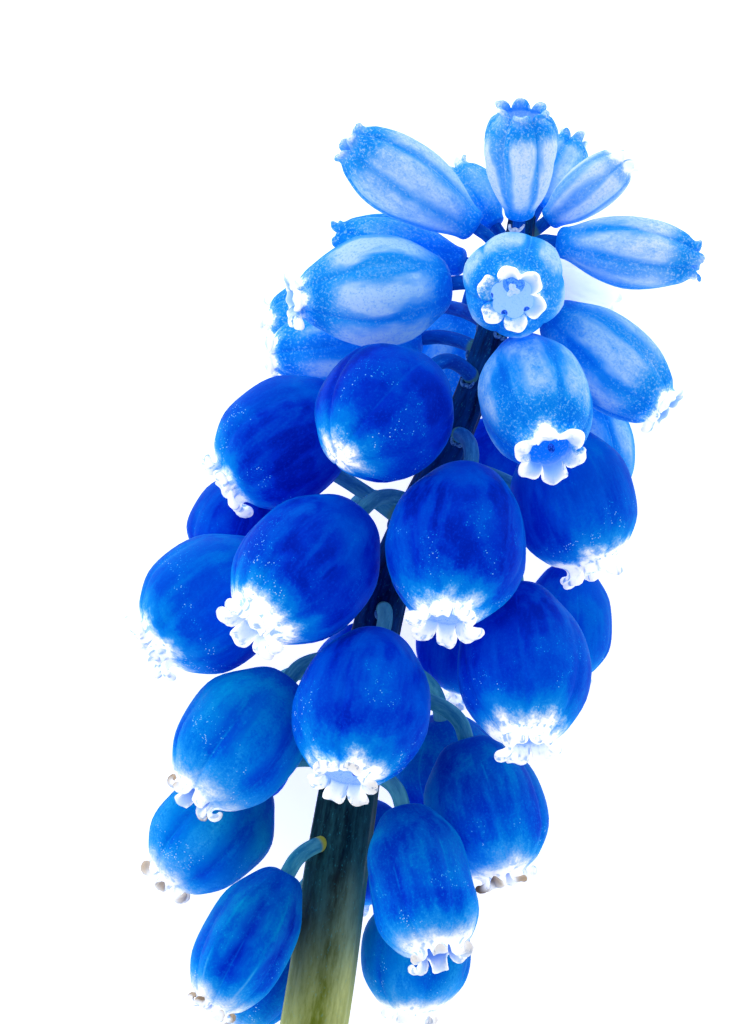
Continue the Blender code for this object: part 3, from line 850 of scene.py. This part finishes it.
PETAL_MARKS = make_petal_marks()
PALETTE = (  # of a petal: how light a shade is, from the deepest blue to white, and its colour
    (0.08, (0.0, 0.008, 0.37)),
    (0.18, (0.0, 0.036, 0.59)),
    (0.32, (0.0, 0.105, 0.695)),
    (0.48, (0.0, 0.23, 0.77)),
    (0.57, (0.015, 0.32, 0.83)),
    (0.66, (0.14, 0.43, 0.87)),
    (0.73, (0.27, 0.515, 0.89)),
    (0.82, (0.44, 0.64, 0.92)),
    (0.91, (0.7, 0.79, 0.96)),
    (1.0, (0.97, 0.98, 1.0)),
)
# How light the painted glints are.
GLINT_SHADE = 0.88
TAN = (0.53, 0.42, 0.31)
DARK_BROWN = (0.12, 0.065, 0.035)
TEAL_TINT = (0.0, 1.15, 0.62)
PAINTED_WHITE_GLOW = (1.5, 1.56, 1.62)  # the painted glow of the white parts, brighter than white, for light coming through the thin tepals
BUMP_HEIGHT = 0.04


def petal_colour(shade):
    node = add_node("ValToRGB", {0: shade})
    stops = node.color_ramp.elements
    for place, colour in PALETTE[1:-1]:
        stops.new(place)
    for stop, (place, colour) in zip(stops, PALETTE):
        stop.position = place
        stop.color = (*colour, 1.0)
    return node.outputs[0]


def shade_over(share, first, second):
    """One shade over another."""
    return add_node("Mix", {0: share, 2: first, 3: second}, data_type="FLOAT").outputs[0]


def wall_shade(tree, mark, shades, amounts):
    """The shade of the outside, as layers one over another, with the white of the mouth and then the painted
    glints last.
    """
    along = kept_value(tree, "along")
    azure = kept_value(tree, "azure")
    cloud = added(mark["Cloud"], maths("MINIMUM", azure, 0.0))
    lightened = maths("MULTIPLY_ADD", mark["Streak"], amounts["streak"], azure)
    on_wall = ramp(kept_value(tree, "lobe"), 0.0, 0.35, 1.0, 0.0)
    shade = shades["deep"]
    # Among these layers, Shine is a painted highlight round the groups of glints, and Glow, lighter towards
    # the mouth, is partly the tepals' own paler colour and partly painted light.
    for mask, amount, other in (
            (cloud, 1.0, "middle"), (lightened, 1.0, "light"), (mark["Glow"], amounts["glow"], "light"),
            (mark["Shine"], amounts["glint"] * 0.35, "light"),
            (ramp(along, 0.0, 0.16, 1.0, 0.0), amounts["foot"], "foot"),
            (mark["Patch"], kept_value(tree, "tone"), "pale"),
            (multiplied(ramp(along, 0.74, 0.88), on_wall), amounts["shoulder"], "deep"),
            (mark["Dark"], amounts["dark"], "deep"), (mark["Line"], amounts["line"], "veil"),
            (mark["Speck"], amounts["speck"], "veil"), (mark["Haze"], amounts["haze"], "veil")):
        shade = shade_over(multiplied(mask, amount), shade, shades[other])
    # Painted shade: fine bluish lines in the white of the mouth, as shade in its creases.
    white = shade_over(multiplied(mark["Crease"], 0.42), shades["white"], shades["veil"])
    shade = shade_over(mark["White"], shade, white)
    # Last, the dots of painted highlight.
    return shade_over(multiplied(mark["Glint"], amounts["glint"]), shade, GLINT_SHADE)


def lining_shade(tree, mark, shades):
    """The inside, in painted shade: darkest on the floor of the hollow and lightest at the mouth."""
    # Painted light and shade: the hollow's dark shade on its floor gives way to the lining's near the mouth,
    # and each bell's glow lights it further.
    near_mouth = ramp(kept_value(tree, "along"), 0.66, 0.93)
    lit = maths("MULTIPLY_ADD", near_mouth, 0.8, kept_value(tree, "glow"))
    shade = shade_over(lit, shades["hollow"], shades["lining"])
    shade = shade_over(multiplied(mark["Dark"], 0.25), shade, shades["light"])
    return shade_over(multiplied(mark["Speck"], 0.5), shade, shades["veil"])


def petal_material(name, shades, amounts, marks, **settings):
    """The skin of bells of one age, from its shades and from how strongly each mark shows."""
    material, tree, shader = start_material(name, roughness=0.5, **settings)
    mark = use_group(tree, PETAL_MARKS, marks)
    inside = kept_value(tree, "inside")
    # Painted shade: the lobes' inner faces are shaded bluer, mottled by the clouds.
    painted_inner_shade = multiplied(kept_value(tree, "inner"), added(mark["Cloud"], 0.3), 0.75)
    shade = shade_over(painted_inner_shade, wall_shade(tree, mark, shades, amounts), shades["inner"])
    shade = shade_over(inside, shade, lining_shade(tree, mark, shades))
    colour = petal_colour(shade)
    aged = multiplied(ramp(kept_value(tree, "along"), 0.1, 0.8, 1.0, 0.0), amounts["teal"])
    colour = blend(aged, colour, blend(1.0, colour, TEAL_TINT, "MULTIPLY"))
    browned = added(off_middle(mark["Cloud"], 0.35), kept_value(tree, "lobe"))
    browned = multiplied(ramp(browned, 0.76, 1.12), kept_value(tree, "withered"))
    colour = blend(browned, colour, blend(mark["Streak"], TAN, DARK_BROWN))
    tree.links.new(colour, shader.inputs["Base Color"])
    # Painted glow: the petals emit their own colour, squared outside and full inside the hollow, with the
    # white parts brighter than white, standing for light that comes through the thin tepals.
    painted_glow = blend(inside, blend(1.0, colour, colour, "MULTIPLY"), colour)
    white_glow_share = multiplied(ramp(shade, 0.88, 1.0), maths("SUBTRACT", 1.0, browned))
    painted_glow = blend(white_glow_share, painted_glow, PAINTED_WHITE_GLOW)
    tree.links.new(painted_glow, shader.inputs["Emission Color"])
    bump(shader, mark["Height"], 0.4, BUMP_HEIGHT)
    return material


def add_bells(age, shape, material):
    """Each bell of one age, in place of its plain solid."""
    for number in [k + 1 for k, row in enumerate(BELLS) if row[0] == age]:
        points, faces, values = bell_skin(number, {**PLAIN_SHAPE, **shape, **shape["own"].get(number, {})})
        bell = add_piece(f"bell_{number:02d}", points, faces, material, values)
        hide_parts(f"floret_{number:02d}")


# The crown: eight sterile buds that never open fully, pale sky blue with darker lines, standing
# up or out at the tip of the raceme. Their ends are blunt, with small lobes that stay upright.
CROWN_SHAPE = dict(
    furrow=0.09, crease=0.045, lobe=0.13, curl=60.0, scroll=1.6, bead=0.065, wall=0.04, notch=0.25,
    fullness=0.92, variety=0.3, keel=0.02, waves=((2, 2, 0.03), (3, 3, 0.025), (5, 2, 0.014)), blunt=1.6,
    tone=0.85, glow=0.6, azure=0.1,
    own={
        1: dict(lobe=0.17, curl=80.0, variety=0.35, notch=0.4, tone=1.5, keel=0.05, neck=1.3),
        2: dict(azure=0.25, tone=0.9),
        3: dict(tone=1.5, azure=0.8, whiten=0.12),
        4: dict(azure=0.0, tone=0.9),
        5: dict(azure=0.12, tone=0.8),
        6: dict(azure=0.0, tone=0.3),
        7: dict(azure=-0.25, tone=0.4),
        8: dict(azure=1.0, tone=1.2, whiten=1.0),
    })
CROWN_SHADES = dict(
    deep=0.42, middle=0.58, light=0.7, pale=0.88, veil=0.92, white=0.95, foot=0.42, lining=0.7,
    hollow=0.45, inner=0.68)
CROWN_AMOUNTS = dict(
    streak=0.5, glow=0.1, foot=0.7, shoulder=0.28, dark=0.22, line=0.6, speck=0.5, haze=0.3, glint=0.5,
    teal=0.0)
# Gloss and sheen of the buds, with the strength of their painted glow.
BUD_GLOSS_AND_GLOW = dict(specular_ior_level=0.03, sheen_weight=0.2, sheen_roughness=0.4,
                 sheen_tint=(0.0, 0.6, 0.8, 1.0), emission_strength=0.35)
crown_petals = petal_material(
    "crown_petals", CROWN_SHADES, CROWN_AMOUNTS,
    {"White From": 0.96, "White Softness": 0.06, "Patch From": 0.02, "Patch To": 0.92,
     "Patch Width": 0.72, "Patch Wander": 1.6}, **BUD_GLOSS_AND_GLOW)
add_bells("crown", CROWN_SHAPE, crown_petals)

# The young bells: azure, with a pale patch down the middle of each tepal, just opening with six
# white lobes like beads round the mouth.
YOUNG_SHAPE = dict(
    furrow=0.06, crease=0.035, lobe=0.115, curl=145.0, scroll=1.1, bead=0.062, wall=0.034, notch=0.42,
    fullness=0.97, variety=0.14, keel=0.02, waves=((2, 2, 0.022), (3, 2, 0.018), (5, 3, 0.008)),
    blunt=2.3, tone=0.8, glow=0.3, azure=0.1,
    own={
        9: dict(tone=1.0, glow=1.0, azure=0.05, lobe=0.072, notch=0.36, keel=0.05),
        10: dict(tone=0.8, glow=0.0, azure=-0.15, keel=0.035, turned=22.0),
        11: dict(tone=1.2, azure=0.35, neck=0.78, bead=0.055),
        14: dict(tone=0.85, azure=0.3),
    })
YOUNG_SHADES = dict(
    deep=0.36, middle=0.52, light=0.64, pale=0.83, veil=0.84, white=1.0, foot=0.34, lining=0.86,
    hollow=0.52, inner=0.74)
YOUNG_AMOUNTS = dict(
    streak=0.45, glow=0.2, foot=0.7, shoulder=0.25, dark=0.25, line=0.65, speck=0.5, haze=0.45,
    glint=0.5, teal=0.1)
young_petals = petal_material(
    "young_petals", YOUNG_SHADES, YOUNG_AMOUNTS,
    {"White From": 0.92, "White Softness": 0.04, "Patch From": 0.06, "Patch To": 0.86,
     "Patch Width": 0.62, "Patch Wander": 1.6}, **BUD_GLOSS_AND_GLOW)
add_bells("young", YOUNG_SHAPE, young_petals)

# The ripe bells: deep cobalt urns with a white mouth, whose six white lobes are rolled back. One
# of them is still closed, its lobes folded in over the mouth like a small star.
RIPE_SHAPE = dict(
    furrow=0.035, crease=0.035, lobe=0.125, curl=138.0, scroll=1.3, bead=0.06, wall=0.034, notch=0.3,
    fullness=0.97, variety=0.16, keel=0.0, waves=((2, 2, 0.02), (3, 2, 0.016), (4, 3, 0.008)), blunt=2.0,
    tone=0.0, glow=0.15, azure=0.1,
    own={
        18: dict(whiten=0.05, azure=0.0, glow=0.5, neck=0.92),
        19: dict(whiten=0.01, azure=-0.05, glow=0.7, neck=0.86),
        20: dict(whiten=0.03, azure=0.05, glow=0.5, neck=0.92),
        21: dict(azure=-0.03, glow=0.8, withered=0.35, lobe=0.105, neck=0.86, bead=0.04),
        22: dict(azure=0.0, whiten=-0.03),
        23: dict(azure=0.0),
        24: dict(azure=0.4),
        25: dict(azure=0.22, whiten=0.03, curl=112.0, lobe=0.135),
        26: dict(azure=0.3),
    })
CLOSED_SHAPE = dict(RIPE_SHAPE, lobe=0.165, curl=-95.0, scroll=1.0, bead=0.04, crease=0.06, notch=0.75,
                    azure=-0.45, whiten=-0.03)
RIPE_SHADES = dict(
    deep=0.11, middle=0.24, light=0.45, pale=0.55, veil=0.6, white=1.0, foot=0.11, lining=0.9,
    hollow=0.5, inner=0.9)
RIPE_AMOUNTS = dict(
    streak=0.42, glow=0.16, foot=0.5, shoulder=0.0, dark=0.15, line=0.24, speck=0.16, haze=0.8,
    glint=0.9, teal=0.3)
# Gloss and sheen of the bells, with the strength of their painted glow.
BELL_GLOSS_AND_GLOW = dict(specular_ior_level=0.01, sheen_weight=0.6, sheen_roughness=0.25, emission_strength=0.3)
ripe_petals = petal_material(
    "ripe_petals", RIPE_SHADES, RIPE_AMOUNTS, {"White From": 0.855, "White Softness": 0.09},
    sheen_tint=(0.0, 0.42, 1.0, 1.0), **BELL_GLOSS_AND_GLOW)
add_bells("ripe", RIPE_SHAPE, ripe_petals)
add_bells("closed", CLOSED_SHAPE, ripe_petals)

# The oldest bells, at the foot of the raceme: a shade greener, dented and ridged as they dry, with
# their lobes rolled up into tight hooks that have turned brown.
SPENT_SHAPE = dict(
    furrow=0.05, crease=0.045, lobe=0.15, curl=225.0, scroll=1.7, bead=0.044, wall=0.028, notch=0.15,
    fullness=0.84, variety=0.25, keel=0.02, waves=((2, 2, 0.03), (3, 2, 0.03), (5, 2, 0.018)), blunt=1.6,
    tone=0.0, glow=0.1, azure=0.2, withered=0.9,
    own={
        31: dict(azure=0.25, tone=0.5, withered=1.0, whiten=0.05),
        32: dict(azure=0.4, tone=0.7, whiten=0.05),
        33: dict(azure=0.2, whiten=0.05, withered=1.0, lobe=0.115, curl=180.0, bead=0.052),
        34: dict(azure=-0.05, keel=0.17, tone=0.5, withered=1.6,
                 waves=((2, 1, 0.05), (3, 1, 0.04), (5, 2, 0.02)), whiten=0.05),
        35: dict(azure=0.12, withered=0.5, whiten=0.05, neck=1.13, lobe=0.17, curl=250.0),
        36: dict(azure=0.2, tone=0.6, whiten=0.12, withered=0.5),
    })
SPENT_SHADES = dict(
    deep=0.12, middle=0.31, light=0.5, pale=0.62, veil=0.7, white=0.98, foot=0.24, lining=0.8,
    hollow=0.36, inner=0.84)
SPENT_AMOUNTS = dict(
    streak=0.48, glow=0.35, foot=0.6, shoulder=0.0, dark=0.2, line=0.6, speck=0.26, haze=0.75, glint=0.9,
    teal=0.8)
spent_petals = petal_material(
    "spent_petals", SPENT_SHADES, SPENT_AMOUNTS, {"White From": 0.875, "White Softness": 0.12},
    sheen_tint=(0.0, 0.45, 1.0, 1.0), **BELL_GLOSS_AND_GLOW)
add_bells("spent", SPENT_SHAPE, spent_petals)

# Inside the open bells: an ovary whose short style ends in three small lobes, and six dark blue
# anthers on the lining. They are soft and smooth, and stand on the floor of the bell.
OPEN_BELLS = (9, 10, 14, 18, 19, 20, 21, 24)
# Both outlines hold a stretch of the bell's length, and a radius for a girth of 1.
OVARY_OUTLINE = ((0.4, 0.05), (0.43, 0.095), (0.49, 0.105), (0.55, 0.075), (0.59, 0.03))
STYLE_OUTLINE = ((0.58, 0.026), (0.66, 0.026), (0.7, 0.04), (0.73, 0.052), (0.75, 0.036))
PISTIL_SIDES = 24
STIGMA_LOBES = 0.4  # how deeply the end of the style is lobed
STIGMA_FROM = 0.68  # the stretch where its lobes begin
ANTHER_STRETCH = 0.79
ANTHER_PLACE = 0.215  # from the bell's middle line, for a girth of 1
ANTHER_SIZE = (0.032, 0.05)  # half its width and half its length, for a girth of 1
ANTHER_TIP = 0.05  # how far its rounded ends stand out, for a length of 1
ANTHER_RINGS = 6
ANTHER_SIDES = 12


def organ_material(name, dull, bright):
    # The organs' emission is a painted glow in their own colour, standing for light coming through them.
    material, tree, shader = start_material(
        name, roughness=0.5, specular_ior_level=0.1, emission_strength=0.3)
    grain = noise(kept_place(tree), 14.0, 3.0, roughness=0.7)
    colour = blend(ramp(grain, 0.38, 0.62), dull, bright)
    colour_and_glow(shader, colour)
    bump(shader, grain, 0.4, BUMP_HEIGHT)
    return material


def bell_rings(number, stretches, radii, offset=(0.0, 0.0)):
    """Rings round a bell's middle line, or round a line beside it; radii are rows, one for each ring."""
    foot, axis = FEET[number - 1], MOUTHS[number - 1] - FEET[number - 1]
    level, rise = side_directions(unit(axis))
    turns = even_turns(radii.shape[1])
    across = radii * np.cos(turns) + offset[0]
    up = radii * np.sin(turns) + offset[1]
    middles = foot + np.outer(stretches, axis)
    return middles[:, None] + across[..., None] * level + up[..., None] * rise


def pistil_skin(number, outline):
    girth = BELLS[number - 1][3]
    stretches, radii = np.array(outline).T
    lobing = np.where(stretches > STIGMA_FROM, STIGMA_LOBES, 0.0)
    waves = 1 + np.outer(lobing, np.cos(3 * even_turns(PISTIL_SIDES)))
    rings = bell_rings(number, stretches, girth * radii[:, None] * waves)
    return placed(*closed_skin(rings, rings[0].mean(axis=0), rings[-1].mean(axis=0)))


def anther_skins(number):
    girth = BELLS[number - 1][3]
    length = np.linalg.norm(MOUTHS[number - 1] - FEET[number - 1])
    swing = np.linspace(0, np.pi, ANTHER_RINGS + 2)[1:-1]
    stretches = ANTHER_STRETCH - np.cos(swing) * ANTHER_SIZE[1] * girth / length
    radii = np.outer(np.sin(swing) * ANTHER_SIZE[0] * girth, np.ones(ANTHER_SIDES))
    for k in range(LOBES):
        turn = GOLDEN_ANGLE * (number - 1) + k * math.pi / 3
        offset = np.array((math.cos(turn), math.sin(turn))) * ANTHER_PLACE * girth
        rings = bell_rings(number, stretches, radii, offset)
        spare = (rings[-1].mean(axis=0) - rings[0].mean(axis=0)) * ANTHER_TIP
        yield placed(*closed_skin(rings, rings[0].mean(axis=0) - spare, rings[-1].mean(axis=0) + spare))


ovaries = add_joined("ovaries", [pistil_skin(number, OVARY_OUTLINE) for number in OPEN_BELLS],
                     organ_material("ovary_skin", (0.03, 0.2, 0.66), (0.16, 0.42, 0.88)))
styles = add_joined("styles", [pistil_skin(number, STYLE_OUTLINE) for number in OPEN_BELLS],
                    organ_material("style_skin", (0.6, 0.75, 0.96), (0.92, 0.96, 1.0)))
anthers = add_joined("anthers", [skin for number in OPEN_BELLS for skin in anther_skins(number)],
                     organ_material("anther_skin", (0.0, 0.05, 0.38), (0.04, 0.2, 0.75)))

# The stage: a plain pale table that glows a little, as a light table does, under a white tent.
FLOOR_HALF = 300.0
VIEW_DISTANCE = 200.0  # from the raceme's middle up to the camera
VIEW_HEIGHT = 30.72  # of the photograph's frame at that distance
SENSOR_HEIGHT = 24.0


def add_floor():
    corners = np.array([(-1, -1, 0), (1, -1, 0), (1, 1, 0), (-1, 1, 0)]) * FLOOR_HALF
    mesh = bpy.data.meshes.new("table_top")
    mesh.from_pydata((corners * MM).tolist(), [], [(0, 1, 2, 3)])
    material, tree, shader = start_material(
        "pale_table", roughness=0.6, specular_ior_level=0.1, emission_strength=0.75)
    place = add_node("TexCoord", {}, tree).outputs["Object"]
    shade = noise(place, 40.0, 2.0)
    colour = blend(shade, (0.9, 0.9, 0.9), (0.93, 0.93, 0.93))
    tree.links.new(colour, shader.inputs["Base Color"])
    shader.inputs["Emission Color"].default_value = (1.0, 1.0, 1.0, 1.0)
    mesh.materials.append(material)
    floor = bpy.data.objects.new("table_top", mesh)
    bpy.context.scene.collection.objects.link(floor)


def add_world():
    world = bpy.data.worlds.new("white_tent")
    world.use_nodes = True
    tree = world.node_tree
    direction = add_node("TexCoord", {}, tree).outputs["Generated"]
    height = add_node("SeparateXYZ", {0: direction}).outputs[2]
    colour = blend(ramp(height, 0.15, 0.95), (1.0, 1.0, 1.0), (0.36, 0.38, 0.42))
    background = tree.nodes["Background"]
    tree.links.new(colour, background.inputs["Color"])
    background.inputs["Strength"].default_value = 1.0
    bpy.context.scene.world = world


def add_light(place, aim, size, power):
    """A soft square lamp, in millimetres and watts."""
    lamp = bpy.data.lights.new("key", "AREA")
    lamp.size = size * MM
    lamp.energy = power
    obj = bpy.data.objects.new("key", lamp)
    obj.location = np.array(place) * MM
    obj.rotation_euler = (obj.location - Vector(aim) * MM).to_track_quat("Z", "Y").to_euler()
    bpy.context.scene.collection.objects.link(obj)


def add_camera():
    camera = bpy.data.cameras.new("photo_view")
    camera.sensor_fit = "VERTICAL"
    camera.sensor_height = SENSOR_HEIGHT
    camera.lens = SENSOR_HEIGHT * VIEW_DISTANCE / VIEW_HEIGHT
    camera.clip_start = 0.01
    camera.clip_end = 10.0
    obj = bpy.data.objects.new("photo_view", camera)
    obj.location = (np.array((0.0, 0.0, AXIS_HEIGHT + VIEW_DISTANCE)) - ORIGIN) * MM
    bpy.context.scene.collection.objects.link(obj)
    bpy.context.scene.camera = obj


add_floor()
add_world()
add_light(place=(-90, 120, 190), aim=(0, 15, 5), size=120, power=0.12)
add_camera()
bpy.context.scene.view_settings.view_transform = "Standard"
